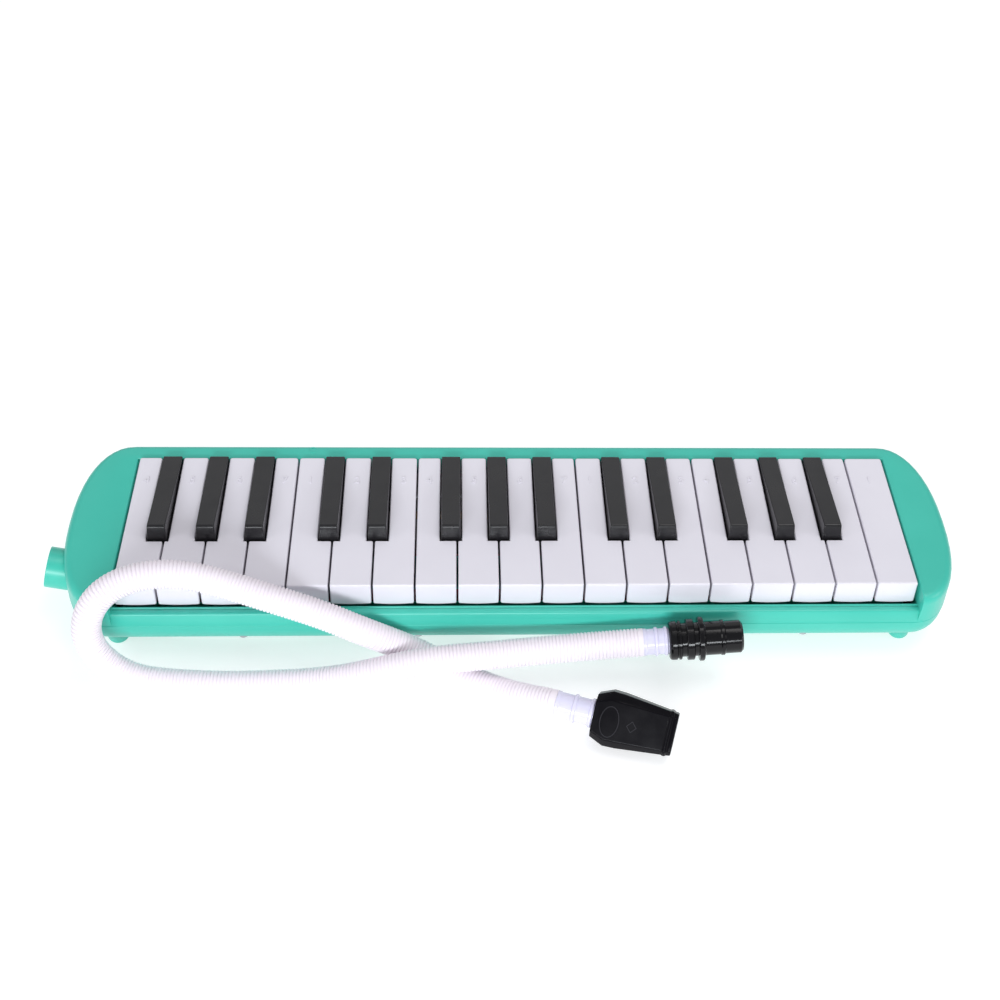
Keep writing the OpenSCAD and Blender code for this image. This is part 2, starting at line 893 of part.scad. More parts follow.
hose_last = len(hose_route) - 1;
hose_ways = concat(
    [-plug_dir],
    [for (i = [1:hose_last - 1]) unit(hose_route[i + 1] - hose_route[i - 1])],
    [mouth_dir]
);
module hose() {
    color([0.95, 0.93, 0.96])
    tube(hose_route, hose_ways, hose_d / 2, hose_sides, [0, 0, 1]);
}

// Places a shape whose +Z runs along the plug's axis, from the hose's end
module at_plug() {
    translate(hose_route[0])
        rotate([0, 90 - plug_tilt, 0])
            children();
}

module at_mouth() {
    translate(hose_route[len(hose_route) - 1])
        rotate([0, 0, mouth_yaw])
            rotate([mouth_roll, 0, 0])
                rotate([0, 90, 0])
                    children();
}

// Turned piece from its [radius, place] outline, with a bore
module turned(outline, bore_r, from, to) {
    difference() {
        rotate_extrude()
            polygon(concat([[0, from]], outline, [[0, to]]));
        translate([0, 0, from - 1])
            cylinder(r = bore_r, h = to - from + 2);
    }
}

cuff_r = 5.9;
cuff_bore_r = 4.6;
bead = 0.7;
cuff_len = 24;
// Sleeve with two beads that joins the hose to a fitting
module cuff(bead1, bead2) {
    color([0.8, 0.8, 0.92])
    turned([
        [hose_d / 2 - 0.3, 0], [hose_d / 2 - 0.3, 1.2], [cuff_r, 1.8],
        [cuff_r, bead1 - 1], [cuff_r + bead, bead1 - 0.5], [cuff_r + bead, bead1 + 0.5],
        [cuff_r, bead1 + 1], [cuff_r, bead2 - 1], [cuff_r + bead, bead2 - 0.5],
        [cuff_r + bead, bead2 + 0.5], [cuff_r, bead2 + 1], [cuff_r, cuff_len]
    ], cuff_bore_r, 0, cuff_len);
}

plug_at = 11.5;
plug_cuff_len = cuff_len - plug_at;
module plug_cuff() {
    at_plug()
        cuff(5.8, plug_at - 1.3);
}

// Collar, thin disc, wide disc and flange with grooves between, then the plug with one bead
plug_end = 33.3;
module hose_plug() {
    r = plug_d / 2;
    color([0.07, 0.07, 0.08])
    at_plug()
        translate([0, 0, plug_at])
            difference() {
                rotate_extrude()
                    polygon([
                        [0, 0], [7.6, 0], [8.5, 0.5], [8.9, 1.4], [8.9, 3.4], [8.5, 3.7],
                        [8.2, 3.8], [8.2, 4.2], [8.9, 4.4], [8.9, 5.4], [8.6, 5.6], [7.7, 5.8],
                        [7.7, 7.8], [9, 8], [9.3, 8.3], [9.3, 11], [9, 11.3], [7.7, 11.5],
                        [7.7, 13.2], [9.7, 13.4], [10, 13.7], [10, 15.3], [9.7, 15.7], [8, 16.2],
                        [7.7, 16.5], [7.7, 23.2], [8.05, 23.7], [8.05, 24.9], [r, 25.4],
                        [r, plug_end - 1], [r - 1, plug_end], [0, plug_end]
                    ]);
                translate([0, 0, -1])
                    cylinder(r = cuff_r + 0.02, h = plug_cuff_len + 1.02);
                cylinder(r = 5, h = plug_end + 1);
            }
}

mouth_at = 17.5;
module mouth_cuff() {
    at_mouth()
        cuff(8.5, mouth_at - 1.2);
}

// Section of the mouthpiece at a place along it: an oblong w by t halves with bevelled corners
function mouth_section(along, w, t, bevel) = [
    for (p = [
        [t, w - bevel], [t - bevel, w], [bevel - t, w], [-t, w - bevel],
        [-t, bevel - w], [bevel - t, -w], [t - bevel, -w], [t, bevel - w]
    ]) [p[0], p[1], along]
];

// Wide behind the cuff, tapering to a flat lip with a ridge, with a slot to blow through
module mouthpiece() {
    ridge = mouth_len - 3.4;
    color([0.08, 0.08, 0.09])
    at_mouth()
        translate([0, 0, mouth_at])
            difference() {
                union() {
                    skin([
                        mouth_section(0, 9.6, 6.6, 3),
                        mouth_section(6.5, 12.4, 6.9, 3.4),
                        mouth_section(12, 12.2, 6.8, 3.4),
                        mouth_section(mouth_len, 9.4, 4.2, 1.8)
                    ]);
                    skin([
                        mouth_section(ridge - 1, 9.7, 4.5, 1.9),
                        mouth_section(ridge - 0.2, 10.2, 5.1, 2),
                        mouth_section(ridge + 1, 10.1, 5, 2),
                        mouth_section(ridge + 1.6, 9.5, 4.3, 1.9)
                    ]);
                }
                translate([0, 0, -1])
                    cylinder(r = cuff_r + 0.02, h = cuff_len - mouth_at + 1.02);
                cylinder(r = 4.4, h = 20);
                translate([-1.6, -6, 14])
                    cube([3.2, 12, mouth_len]);
            }
}

// ---- The parts ----

for (key = KEYS)
    key_node(key);
upper_case();
lower_case();
blow_socket();
socket_gasket();
chamber_tray();
chamber_gasket();
valve_board();
reed_plate_low();
reed_plate_high();
reeds(0, low_keys - 1);  // reeds_low
reeds(low_keys, len(KEYS) - 1);  // reeds_high
reed_screws();
key_axle();
key_springs();
board_screws();
key_felt();
case_screws();
drain_button();
drain_spring();
drain_seal();
hand_strap();
strap_screws();
hose();
plug_cuff();
mouth_cuff();
hose_plug();
mouthpiece();
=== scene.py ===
"""Looks of a 32-key melodica with its blowing hose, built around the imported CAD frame."""
import json
import math

import bmesh
import bpy
from mathutils import Matrix, Vector


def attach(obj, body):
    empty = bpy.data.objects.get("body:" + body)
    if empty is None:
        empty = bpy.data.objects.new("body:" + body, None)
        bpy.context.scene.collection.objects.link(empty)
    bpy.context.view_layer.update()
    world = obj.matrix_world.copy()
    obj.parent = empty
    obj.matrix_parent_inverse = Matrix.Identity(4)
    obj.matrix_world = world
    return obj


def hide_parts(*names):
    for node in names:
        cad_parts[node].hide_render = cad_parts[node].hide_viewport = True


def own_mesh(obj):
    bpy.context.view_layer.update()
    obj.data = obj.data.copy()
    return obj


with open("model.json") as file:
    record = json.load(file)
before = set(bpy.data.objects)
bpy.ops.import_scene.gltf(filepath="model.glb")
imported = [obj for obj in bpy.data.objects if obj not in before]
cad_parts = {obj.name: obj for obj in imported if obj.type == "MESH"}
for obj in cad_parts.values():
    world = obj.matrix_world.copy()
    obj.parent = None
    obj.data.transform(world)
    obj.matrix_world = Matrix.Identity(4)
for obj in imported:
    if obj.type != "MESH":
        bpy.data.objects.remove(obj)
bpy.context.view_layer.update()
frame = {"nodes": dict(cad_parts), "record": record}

MM = 0.001
nodes = frame["nodes"]
record = frame["record"]
body_of_node = {n: body for body, members in record["behaviour"]["bodies"].items() for n in members}
slot_of_node = {s["node"]: s["material_slot"] for s in record["subparts"]}


def new_object(name, data):
    """A new object with the given data, linked to the scene."""
    made = bpy.data.objects.new(name, data)
    bpy.context.scene.collection.objects.link(made)
    return made


# ---- Camera ----

camera_data = bpy.data.cameras.new("camera")
camera_data.lens = 49.07
camera_data.sensor_width = 36
camera_data.shift_x = -0.03
camera_data.clip_start = 0.01
camera_data.clip_end = 20
camera = new_object("camera", camera_data)
camera.location = (-0.02282, -0.43782, 0.51334)
camera.rotation_euler = [math.radians(a) for a in (43.453, -2.264, -2.162)]
bpy.context.scene.camera = camera


# ---- Mesh helpers ----

WELD_GAP, FLAT_ANGLE = 0.002, 0.4
SHARP_ANGLE, SMOOTH_ANGLE, FACE_WEIGHT = 33, 31, 80


def add_mesh(name, vertices, faces):
    """A new smooth-shaded mesh object in the row frame."""
    mesh = bpy.data.meshes.new(name)
    mesh.from_pydata([tuple(v) for v in vertices], [], faces)
    mesh.validate()
    mesh.polygons.foreach_set("use_smooth", [True] * len(mesh.polygons))
    return new_object(name, mesh)


def settle(piece, node):
    """The piece takes the place of a CAD node, which it hides, rides on its body and takes the material
    of the node's slot.
    """
    look = looks[slot_of_node[node]]
    if piece.data.materials:
        piece.data.materials[0] = look
    else:
        piece.data.materials.append(look)
    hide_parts(node)
    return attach(piece, body_of_node[node])


def welded_copy(node):
    """A bmesh of a CAD node with its split vertices joined and its flat faces made whole."""
    bm = bmesh.new()
    bm.from_mesh(nodes[node].data)
    bmesh.ops.remove_doubles(bm, verts=bm.verts, dist=WELD_GAP * MM)
    bmesh.ops.dissolve_limit(
        bm, angle_limit=math.radians(FLAT_ANGLE), verts=bm.verts, edges=bm.edges,
        use_dissolve_boundaries=False,
    )
    return bm


def band(bm, inner, outer, place, height, look=0):
    """A raised closed line: inner and outer loops of (x, y) points, put in place by a matrix."""
    rings = [
        [bm.verts.new(place @ Vector((x, y, z))) for x, y in loop]
        for loop, z in ((inner, -height), (inner, height), (outer, height), (outer, -height))
    ]
    count = len(inner)
    for a, b in zip(rings, rings[1:] + rings[:1]):
        for i in range(count):
            n = (i + 1) % count
            bm.faces.new((a[i], a[n], b[n], b[i])).material_index = look


def loop_points(half_x, half_y, count):
    """Points of an ellipse, or of a polygon with few points."""
    angles = [2 * math.pi * i / count for i in range(count)]
    return [(half_x * math.cos(a), half_y * math.sin(a)) for a in angles]


def rounded(node, width, segments=3, chosen=None, dent=None):
    """A CAD node's shape with its sharp outer edges rounded, as moulded plastic has them."""
    bm = welded_copy(node)
    limit = math.radians(SHARP_ANGLE)
    edges = [
        e for e in bm.edges
        if len(e.link_faces) == 2 and e.is_convex and e.calc_face_angle(0) > limit
        and (chosen is None or all(chosen(v.co / MM) for v in e.verts))
    ]
    bmesh.ops.bevel(
        bm, geom=edges, offset=width * MM, offset_type="OFFSET", segments=segments,
        profile=0.5, affect="EDGES", clamp_overlap=False, miter_outer="ARC",
    )
    if dent:
        dent(bm)
    mesh = bpy.data.meshes.new(node + "_rounded")
    bm.to_mesh(mesh)
    bm.free()
    piece = new_object(node + "_rounded", mesh)
    shade(piece)
    settle(piece, node)
    return piece


def shade(piece):
    """Smooth shading that keeps its sharper edges, weighted towards large faces."""
    mesh = piece.data
    mesh.polygons.foreach_set("use_smooth", [True] * len(mesh.polygons))
    mesh.set_sharp_from_angle(angle=math.radians(SMOOTH_ANGLE))
    weighted = piece.modifiers.new("even shading", "WEIGHTED_NORMAL")
    weighted.keep_sharp = True
    weighted.weight = FACE_WEIGHT


# ---- Hose ----

HOSE_D = 13
RIB_PITCH = 1.62
RIB_OFFSETS = (0, 0.04, 0.18, 0.8, 0.18, 0.04)
HOSE_SIDES = 40
RINGS_PER_RIB = len(RIB_OFFSETS)
LINE_SAMPLES, LINE_PASSES = 12, 60
PLUG_TILT = 5.5
MOUTH_YAW = -18
MOUTH_ROLL = 45
HOSE_ROUTE = [
    [62, -62.9, 23.2], [49, -63, 21.9], [36, -63.4, 20.9], [24, -64.2, 20.4],
    [11, -65.4, 20.2], [-2, -67, 20.4], [-15, -68.7, 20.9], [-28, -70.4, 21.6],
    [-41, -72, 20.9], [-54, -73, 17.6], [-67, -73.2, 13.2], [-80, -72.8, 9.3],
    [-94, -72.4, 7.1], [-109, -72.6, 6.6], [-124, -73, 6.6], [-138, -72.4, 6.6],
    [-151, -71.4, 6.7], [-163, -70.4, 7.8], [-173, -68.6, 12], [-180, -66.2, 18.4],
    [-184, -63.8, 25.4], [-185, -61.2, 32], [-183.7, -58.6, 38.2], [-180.2, -55.2, 44.2],
    [-173.4, -51, 49], [-162, -46.9, 51.6], [-148.4, -44.6, 50.8], [-135, -44.5, 47.8],
    [-121, -47, 44.4], [-108, -49.9, 41.4], [-94, -52.4, 37.4], [-80, -55, 33],
    [-67, -58, 27.8], [-55, -58.8, 21.4], [-43, -59.6, 14.6], [-31, -63.2, 9.8],
    [-18, -70.2, 7.2], [-5, -76.6, 6.7], [8, -82.6, 9], [22, -87.9, 11.4],
]


def smooth_line(points, step, first, last):
    """Points a step apart on a smooth curve through the given ones, with its two end directions."""
    pts = [Vector(p) for p in points]
    fine = []
    for i in range(len(pts) - 1):
        a, b = pts[i], pts[i + 1]
        reach = (b - a).length
        t0 = (b - pts[i - 1]).normalized() if i else first
        t1 = (pts[i + 2] - a).normalized() if i + 2 < len(pts) else last
        for k in range(LINE_SAMPLES):
            t = k / LINE_SAMPLES
            fine.append(
                a * (2 * t**3 - 3 * t**2 + 1) + b * (3 * t**2 - 2 * t**3)
                + t0 * reach * (t**3 - 2 * t**2 + t) + t1 * reach * (t**3 - t**2)
            )
    fine.append(pts[-1])
    for _ in range(LINE_PASSES):
        inner = [(fine[i - 1] + fine[i] * 2 + fine[i + 1]) / 4 for i in range(2, len(fine) - 2)]
        fine[2:-2] = inner
    lengths = [0.0]
    for a, b in zip(fine, fine[1:]):
        lengths.append(lengths[-1] + (b - a).length)
    count = round(lengths[-1] / step)
    line, k = [], 0
    for i in range(count + 1):
        goal = lengths[-1] * i / count
        while k < len(lengths) - 2 and lengths[k + 1] < goal:
            k += 1
        share = (goal - lengths[k]) / (lengths[k + 1] - lengths[k])
        line.append(fine[k].lerp(fine[k + 1], share))
    return line


def sweep(name, line, radii, sides):
    """A closed tube of the given radii along a line, with frames that don't twist."""
    vertices, faces = [], []
    side = Vector((0, 0, 1))
    for i, p in enumerate(line):
        way = (line[min(i + 1, len(line) - 1)] - line[max(i - 1, 0)]).normalized()
        side = (side - way * side.dot(way)).normalized()
        across = way.cross(side)
        for k in range(sides):
            a = 2 * math.pi * k / sides
            vertices.append((p + (side * math.cos(a) + across * math.sin(a)) * radii[i]) * MM)
    for i in range(len(line) - 1):
        for k in range(sides):
            n = (k + 1) % sides
            faces.append((i * sides + k, i * sides + n, (i + 1) * sides + n, (i + 1) * sides + k))
    faces.append(tuple(range(sides - 1, -1, -1)))
    faces.append(tuple(range((len(line) - 1) * sides, len(line) * sides)))
    return add_mesh(name, vertices, faces)


def direction(yaw, tilt):
    """Unit vector at a turn about the vertical and a rise above level, in degrees."""
    across, along = math.radians(yaw), math.radians(tilt)
    level = math.cos(along)
    return Vector((math.cos(across) * level, math.sin(across) * level, math.sin(along)))


hose_line = smooth_line(
    HOSE_ROUTE, RIB_PITCH / RINGS_PER_RIB, -direction(0, PLUG_TILT), direction(MOUTH_YAW, 0)
)
END_BAND, END_BAND_DROP = 2, 0.15
band_rings = round(END_BAND / RIB_PITCH * RINGS_PER_RIB)


def hose_radius(i):
    """Rounded ribs with narrow valleys, and a plain band at each end."""
    if min(i, len(hose_line) - 1 - i) < band_rings:
        return HOSE_D / 2 - END_BAND_DROP
    return HOSE_D / 2 - RIB_OFFSETS[i % RINGS_PER_RIB]


hose_radii = [hose_radius(i) for i in range(len(hose_line))]
hose = sweep("corrugated_hose", hose_line, hose_radii, HOSE_SIDES)


# ---- Materials ----

def tree(name):
    """A new material with its node tree, shader and object coordinates."""
    material = bpy.data.materials.new(name)
    material.use_nodes = True
    nt = material.node_tree
    coordinates = nt.nodes.new("ShaderNodeTexCoord")
    return material, nt, nt.nodes["Principled BSDF"], coordinates.outputs["Object"]


def noise_node(nt, coordinates, scale, detail=4.0, roughness=0.5):
    node = nt.nodes.new("ShaderNodeTexNoise")
    node.inputs["Scale"].default_value = scale
    node.inputs["Detail"].default_value = detail
    node.inputs["Roughness"].default_value = roughness
    nt.links.new(coordinates, node.inputs["Vector"])
    return node.outputs["Fac"]


def ranged(nt, value, low, high, source=(0.3, 0.7)):
    node = nt.nodes.new("ShaderNodeMapRange")
    node.inputs["From Min"].default_value = source[0]
    node.inputs["From Max"].default_value = source[1]
    node.inputs["To Min"].default_value = low
    node.inputs["To Max"].default_value = high
    nt.links.new(value, node.inputs["Value"])
    return node.outputs["Result"]


def mixed(nt, factor, a, b):
    node = nt.nodes.new("ShaderNodeMix")
    node.data_type = "RGBA"
    node.inputs["A"].default_value = (*a, 1)
    node.inputs["B"].default_value = (*b, 1)
    nt.links.new(factor, node.inputs["Factor"])
    return node.outputs["Result"]


def bumped(nt, shader, height, strength, distance):
    node = nt.nodes.new("ShaderNodeBump")
    node.inputs["Strength"].default_value = strength
    node.inputs["Distance"].default_value = distance
    nt.links.new(height, node.inputs["Height"])
    nt.links.new(node.outputs["Normal"], shader.inputs["Normal"])


def plastic(
    name, low, high, roughness, grain=0.02, grain_scale=2500, level=0.5, glow=0.0, spread=0.05
):
    """Moulded plastic: faint mottling, uneven gloss and a fine skin."""
    material, nt, shader, place = tree(name)
    tone = ranged(nt, noise_node(nt, place, 35, 3), 0, 1)
    nt.links.new(mixed(nt, tone, low, high), shader.inputs["Base Color"])
    gloss = ranged(nt, noise_node(nt, place, 90, 5, 0.6), roughness - spread, roughness + spread)
    nt.links.new(gloss, shader.inputs["Roughness"])
    bumped(nt, shader, noise_node(nt, place, grain_scale, 2), grain, 0.1 * MM)
    shader.inputs["IOR"].default_value = 1.5
    shader.inputs["Specular IOR Level"].default_value = level
    if glow:
        shader.inputs["Subsurface Weight"].default_value = glow
        shader.inputs["Subsurface Radius"].default_value = (1.0, 0.9, 1.0)
        shader.inputs["Subsurface Scale"].default_value = 1.5 * MM
    return material


def metal(name, low, high, roughness, stretch=(1, 1, 1)):
    """Rolled or drawn metal with fine lines along one direction."""
    material, nt, shader, place = tree(name)
    mapping = nt.nodes.new("ShaderNodeMapping")
    mapping.inputs["Scale"].default_value = stretch
    nt.links.new(place, mapping.inputs["Vector"])
    lines = noise_node(nt, mapping.outputs["Vector"], 600, 6, 0.7)
    nt.links.new(mixed(nt, ranged(nt, lines, 0, 1), low, high), shader.inputs["Base Color"])
    nt.links.new(ranged(nt, lines, roughness - 0.08, roughness + 0.1), shader.inputs["Roughness"])
    bumped(nt, shader, lines, 0.08, 0.05 * MM)
    shader.inputs["Metallic"].default_value = 1
    return material


def soft(name, low, high, roughness, grain_scale, grain, sheen=0.0):
    """Rubber, vinyl or felt, with a coarse skin."""
    material, nt, shader, place = tree(name)
    skin = noise_node(nt, place, grain_scale, 6, 0.65)
    nt.links.new(mixed(nt, ranged(nt, skin, 0, 1), low, high), shader.inputs["Base Color"])
    nt.links.new(ranged(nt, skin, roughness + 0.06, roughness - 0.06), shader.inputs["Roughness"])
    bumped(nt, shader, skin, grain, 0.3 * MM)
    shader.inputs["Sheen Weight"].default_value = sheen
    return material


looks = {
    "white_key_plastic": plastic(
        "white key plastic", (0.755, 0.73, 0.79), (0.78, 0.755, 0.815), 0.17
    ),
    "black_key_plastic": plastic(
        "black key plastic", (0.008, 0.0075, 0.009), (0.011, 0.0105, 0.012), 0.3, 0.05, 4000, level=0.42
    ),
    "case_plastic": plastic(
        "case plastic", (0.046, 0.50, 0.392), (0.053, 0.525, 0.412), 0.33, spread=0.02
    ),
    "gasket_rubber": soft(
        "gasket rubber", (0.02, 0.02, 0.022), (0.035, 0.035, 0.037), 0.6, 900, 0.3
    ),
    "chamber_plastic": plastic(
        "chamber plastic", (0.58, 0.57, 0.50), (0.63, 0.62, 0.55), 0.45, 0.05
    ),
    "reed_brass": metal("reed brass", (0.62, 0.42, 0.16), (0.74, 0.53, 0.24), 0.3, (0.2, 3, 3)),
    "screw_steel": metal("screw steel", (0.42, 0.43, 0.45), (0.56, 0.57, 0.6), 0.3),
    "spring_bronze": metal(
        "spring bronze", (0.50, 0.30, 0.13), (0.62, 0.40, 0.20), 0.32, (3, 0.2, 3)
    ),
    "stop_felt": soft("stop felt", (0.16, 0.02, 0.03), (0.26, 0.045, 0.06), 0.95, 2600, 0.9, 0.6),
    "button_plastic": plastic("button plastic", (0.045, 0.45, 0.335), (0.055, 0.48, 0.36), 0.3),
    "strap_vinyl": soft("strap vinyl", (0.016, 0.016, 0.018), (0.03, 0.03, 0.032), 0.5, 700, 0.6),
    "hose_plastic": plastic(
        "hose plastic", (0.87, 0.80, 0.86), (0.90, 0.835, 0.89), 0.4, glow=0.12
    ),
    "cuff_plastic": plastic("cuff plastic", (0.70, 0.68, 0.86), (0.75, 0.73, 0.89), 0.2, glow=0.3),
    "black_plastic": plastic(
        "black plastic", (0.0030, 0.0028, 0.0036), (0.0042, 0.0040, 0.0048), 0.14, 0.02, level=0.28
    ),
}

for name, node in nodes.items():
    node.data.materials.clear()
    node.data.materials.append(looks[slot_of_node[name]])


# ---- Pieces that stand for CAD nodes ----

RAIL_TOP = 27.9
FRONT_Y, FRONT_LOW, FRONT_SLOPE = -42.5, 28.6, 1.9 / 11
BOW, BOW_CUTS, BOW_EDGE = 0.5, 9, 10
WHITE_EDGE, BLACK_EDGE = 0.7, 0.5


def visible_key(p):
    """Above the deep skirts, where a key's edges show."""
    return p.z > RAIL_TOP


def bowed(bm):
    """The lower edge of a white key's front hangs a little lower in its middle."""
    low = [v for v in bm.verts if v.co.y < FRONT_Y * MM and v.co.z < FRONT_LOW * MM]
    middle = (min(v.co.x for v in low) + max(v.co.x for v in low)) / 2
    half = max(v.co.x for v in low) - middle
    wide = [
        e for e in bm.edges
        if all(v in low for v in e.verts)
        and abs(e.verts[0].co.x - e.verts[1].co.x) > BOW_EDGE * MM
    ]
    bmesh.ops.subdivide_edges(bm, edges=wide, cuts=BOW_CUTS)
    for v in bm.verts:
        if v.co.y < FRONT_Y * MM and v.co.z < FRONT_LOW * MM:
            drop = BOW * MM * (1 - ((v.co.x - middle) / half) ** 2)
            v.co.z -= drop
            v.co.y -= drop * FRONT_SLOPE


white_keys = []
for name in nodes:
    if name.startswith("key_") and body_of_node[name].endswith("_lever"):
        if "sharp" in name:
            rounded(name, BLACK_EDGE, 4, visible_key)
        else:
            white_keys.append(name)
            rounded(name, WHITE_EDGE, 4, visible_key, dent=bowed)


# The case's outer surface: straight front and rear, superellipse ends, rounded keel and shoulder
CASE_X, HALF_STRAIGHT, END_X, HALF_DEPTH, POWER = 5, 184.5, 24.5, 51.5, 2.3
KEEL_Z, KEEL_R, SHOULDER_Z, SHOULDER_R, DRAFT, DRAFT_Z = 19, 13, 33.5, 4, 0.7, 22
SURFACE_GAP, WALL_GAP, WALL_FRONT_Y, NORMAL_ANGLE = 0.03, 0.05, -52, 20
OPENING_X0, OPENING_X1, OPENING_REAR_Y = -177.35, 191.35, 40.7


def shell_lean(z):
    """Inset of the case's outer surface at a height, and how far its normal leans from level."""
    if z <= KEEL_Z:
        lean = -math.asin(min(1, (KEEL_Z - z) / KEEL_R))
        return KEEL_R * (1 - math.cos(lean)), lean
    if z <= SHOULDER_Z:
        reach = SHOULDER_Z - DRAFT_Z
        rise = max(0, z - DRAFT_Z) / reach
        return DRAFT * rise, 0.0 if z < DRAFT_Z else math.atan(DRAFT / reach)
    lean = math.asin(min(1, (z - SHOULDER_Z) / SHOULDER_R))
    return DRAFT + SHOULDER_R * (1 - math.cos(lean)), lean


def shell_normal(p):
    """Normal of the case's outer surface at a point on it, or None off the surface."""
    inset, lean = shell_lean(p.z)
    a, b = END_X - inset, HALF_DEPTH - inset
    u = max(0, abs(p.x - CASE_X) - HALF_STRAIGHT)
    v = abs(p.y)
    if abs((u / a) ** POWER + (v / b) ** POWER - 1) > SURFACE_GAP:
        return None
    across = u ** (POWER - 1) / a**POWER * (1 if p.x > CASE_X else -1)
    along = v ** (POWER - 1) / b**POWER * (1 if p.y > 0 else -1)
    level = Vector((across, along, 0)).normalized() * math.cos(lean)
    return Vector((level.x, level.y, math.sin(lean)))


def on_opening(p):
    """On one of the walls of the keyboard's opening, above the rail."""
    walls = (abs(p.x - OPENING_X0), abs(p.x - OPENING_X1), abs(p.y - OPENING_REAR_Y))
    return p.z > RAIL_TOP and min(walls) < WALL_GAP and p.y > WALL_FRONT_Y


def smooth_shell(node, width):
    """A case half with its opening's edge rounded and normals taken from the true surface."""
    piece = rounded(node, width, 3, on_opening)
    mesh = piece.data
    piece.modifiers.clear()
    normals = [n.vector.copy() for n in mesh.corner_normals]
    for face in mesh.polygons:
        for corner in face.loop_indices:
            true = shell_normal(mesh.vertices[mesh.loops[corner].vertex_index].co / MM)
            if true and true.angle(face.normal, 9) < math.radians(NORMAL_ANGLE):
                normals[corner] = true
    mesh.normals_split_custom_set(normals)


smooth_shell("upper_case", 0.7)
smooth_shell("lower_case", 0.3)
rounded("blow_socket", 0.3, 3)


# ---- Mouthpiece: a raised oval and a small diamond on its upper face ----

MOUTH_AT, MOUTH_LEN = 17.5, 36.5
TOP_Z0, TOP_Z1, TOP_X0, TOP_X1 = 12, MOUTH_LEN, 6.8, 4.2
OVAL_AT, OVAL_X, OVAL_Y, OVAL_WIDTH, OVAL_POINTS = 7.6, 3.9, 6.6, 0.4, 40
DIAMOND_AT, DIAMOND_X, DIAMOND_Y, DIAMOND_WIDTH, DIAMOND_POINTS = 17.5, 1.9, 2.2, 0.45, 4
RELIEF_SIDE, RELIEF_RISE, RELIEF_LOOK = -0.6, 0.3, 1


def mouth_relief(bm):
    """A raised oval, and a small diamond further along on the falling face."""
    axis = (
        Matrix.Translation(Vector(HOSE_ROUTE[-1]))
        @ Matrix.Rotation(math.radians(MOUTH_YAW), 4, "Z")
        @ Matrix.Rotation(math.radians(MOUTH_ROLL), 4, "X")
    )
    fall = math.atan((TOP_X0 - TOP_X1) / (TOP_Z1 - TOP_Z0))
    metres = Matrix.Scale(MM, 4)
    oval = metres @ axis @ Matrix.Translation((MOUTH_AT + OVAL_AT, RELIEF_SIDE, TOP_X0))
    band(
        bm, loop_points(OVAL_X, OVAL_Y, OVAL_POINTS),
        loop_points(OVAL_X + OVAL_WIDTH, OVAL_Y + OVAL_WIDTH, OVAL_POINTS),
        oval, RELIEF_RISE, RELIEF_LOOK,
    )
    level = TOP_X0 - (DIAMOND_AT - TOP_Z0) * math.tan(fall)
    diamond = (
        metres @ axis
        @ Matrix.Translation((MOUTH_AT + DIAMOND_AT, RELIEF_SIDE, level))
        @ Matrix.Rotation(fall, 4, "Y")
    )
    band(
        bm, loop_points(DIAMOND_X, DIAMOND_Y, DIAMOND_POINTS),
        loop_points(DIAMOND_X + DIAMOND_WIDTH, DIAMOND_Y + DIAMOND_WIDTH, DIAMOND_POINTS),
        diamond, RELIEF_RISE, RELIEF_LOOK,
    )


mouthpiece = rounded("mouthpiece", 0.5, 4, dent=mouth_relief)
mouthpiece.data.materials[0] = plastic(
    "mouthpiece plastic", (0.0030, 0.0026, 0.0040), (0.0042, 0.0037, 0.0054), 0.22, 0.03, level=0.1
)
# The relief bands get a glossier finish and a lighter colour than the mouthpiece's plastic; the lighter
# colour is a painted highlight.
mouthpiece.data.materials.append(
    plastic("polished relief with painted highlight", (0.016, 0.015, 0.019), (0.022, 0.021, 0.026), 0.12, 0.02, level=0.5)
)
rounded("hand_strap", 0.3, 3)

settle(hose, "hose")


# ---- Drain spring: a copy of the CAD spring with a mesh of its own; the real spring shortens as the button is pressed ----

drain_coil = new_object("drain_coil", nodes["drain_spring"].data.copy())
settle(drain_coil, "drain_spring")
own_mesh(drain_coil)


# ---- Relief numerals on the white keys, and a small ring on the rear rim ----

DO_OF_NOTE = {"c": "1", "d": "2", "e": "3", "f": "4", "g": "5", "a": "6", "b": "7"}
NUMERAL_Y, NUMERAL_SIZE, NUMERAL_RISE, NUMERAL_WEIGHT = 24, 5.8, 0.3, 0.1
KEY_TOP, KEY_REAR_Y = 39, 35

for name in white_keys:
    note = DO_OF_NOTE[name.split("_")[1][0]]
    curve = bpy.data.curves.new(name + "_numeral", "FONT")
    curve.body = note
    curve.size = NUMERAL_SIZE * MM
    curve.extrude = NUMERAL_RISE * MM
    curve.offset = NUMERAL_WEIGHT * MM
    curve.align_x = "CENTER"
    curve.align_y = "CENTER"
    shape = new_object(name + "_numeral_outline", curve)
    rear = [
        v.co.x for v in nodes[name].data.vertices
        if v.co.y > KEY_REAR_Y * MM and v.co.z > (KEY_TOP - 1) * MM
    ]
    spot = Vector(((min(rear) + max(rear)) / 2, NUMERAL_Y * MM, KEY_TOP * MM))
    graph = bpy.context.evaluated_depsgraph_get()
    mesh = bpy.data.meshes.new_from_object(shape.evaluated_get(graph))
    bpy.data.objects.remove(shape)
    mesh.transform(Matrix.Translation(spot))
    numeral = new_object(name + "_numeral", mesh)
    mesh.materials.clear()
    mesh.materials.append(looks["white_key_plastic"])
    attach(numeral, body_of_node[name])

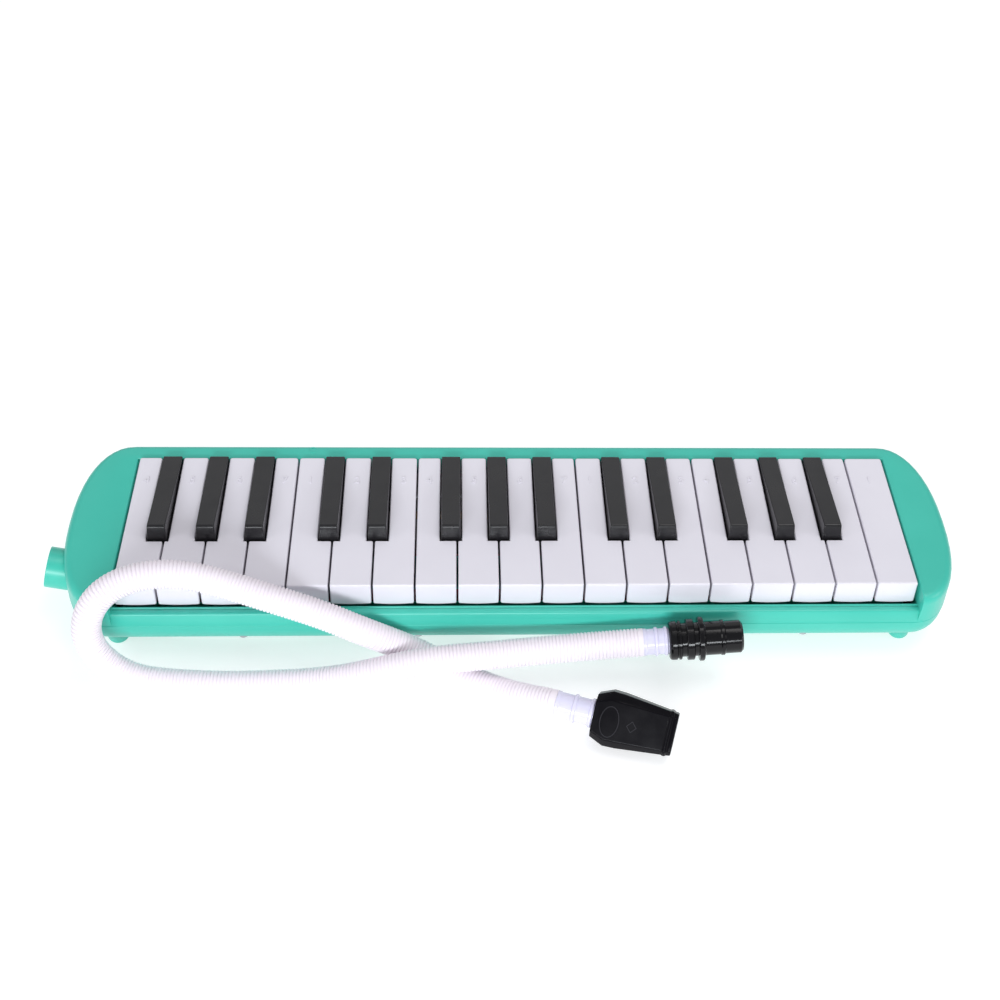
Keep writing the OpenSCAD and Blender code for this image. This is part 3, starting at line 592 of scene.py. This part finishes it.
RIM_MARK = (-93.1, 46.4, 37.5)
MARK_INNER, MARK_OUTER, MARK_POINTS, MARK_RISE = 1.5, 1.9, 32, 0.15
mark = bmesh.new()
band(
    mark, loop_points(MARK_INNER, MARK_INNER, MARK_POINTS),
    loop_points(MARK_OUTER, MARK_OUTER, MARK_POINTS),
    Matrix.Scale(MM, 4) @ Matrix.Translation(RIM_MARK), MARK_RISE,
)
mark_mesh = bpy.data.meshes.new("rim_mark")
mark.to_mesh(mark_mesh)
mark.free()
rim_mark = new_object("rim_mark", mark_mesh)
mark_mesh.materials.append(looks["case_plastic"])
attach(rim_mark, "case")


# ---- Floor and light ----

def area_light(name, place, target, size, power, colour=(1, 1, 1)):
    data = bpy.data.lights.new(name, "AREA")
    data.shape = "RECTANGLE"
    data.size, data.size_y = size
    data.energy = power
    data.color = colour
    light = new_object(name, data)
    light.location = place
    light.rotation_euler = (Vector(target) - Vector(place)).to_track_quat("-Z", "Y").to_euler()


area_light("front softbox", (-0.25, -1.4, 0.56), (0, 0, 0.02), (1.0, 0.2), 15, (0.92, 0.96, 1.0))
area_light("left strip", (-1.25, -0.35, 0.6), (0, 0, 0.02), (0.4, 0.4), 1.6)
area_light("right strip", (1.25, -0.35, 0.6), (0, 0, 0.02), (0.4, 0.4), 2.2)
area_light("rear softbox", (0, 1.3, 0.9), (0, 0, 0.03), (1.6, 0.8), 2.2, (1.0, 0.99, 0.98))
area_light("high fill", (0.5, 0.1, 1.6), (0, 0, 0.02), (0.8, 0.8), 7.2, (1.0, 0.98, 0.97))

world = bpy.data.worlds.new("studio")
bpy.context.scene.world = world
world.use_nodes = True
background = world.node_tree.nodes["Background"]
background.inputs["Color"].default_value = (0.93, 0.95, 1.0, 1)
background.inputs["Strength"].default_value = 0.45

bpy.context.scene.view_settings.view_transform = "Standard"

floor_material, floor_tree, floor_shader, floor_place = tree("pale floor")
floor_tone = ranged(floor_tree, noise_node(floor_tree, floor_place, 3, 3), 0, 1)
floor_colour = mixed(floor_tree, floor_tone, (0.54, 0.54, 0.545), (0.56, 0.56, 0.565))
floor_tree.links.new(floor_colour, floor_shader.inputs["Base Color"])
floor_shader.inputs["Roughness"].default_value = 0.7
floor_shader.inputs["Emission Color"].default_value = (1, 1, 1, 1)
floor_shader.inputs["Emission Strength"].default_value = 0.6
FLOOR_HALF = 6
floor = add_mesh(
    "floor",
    [(x * FLOOR_HALF, y * FLOOR_HALF, 0) for x, y in ((-1, -1), (1, -1), (1, 1), (-1, 1))],
    [(0, 1, 2, 3)],
)
floor.data.materials.append(floor_material)
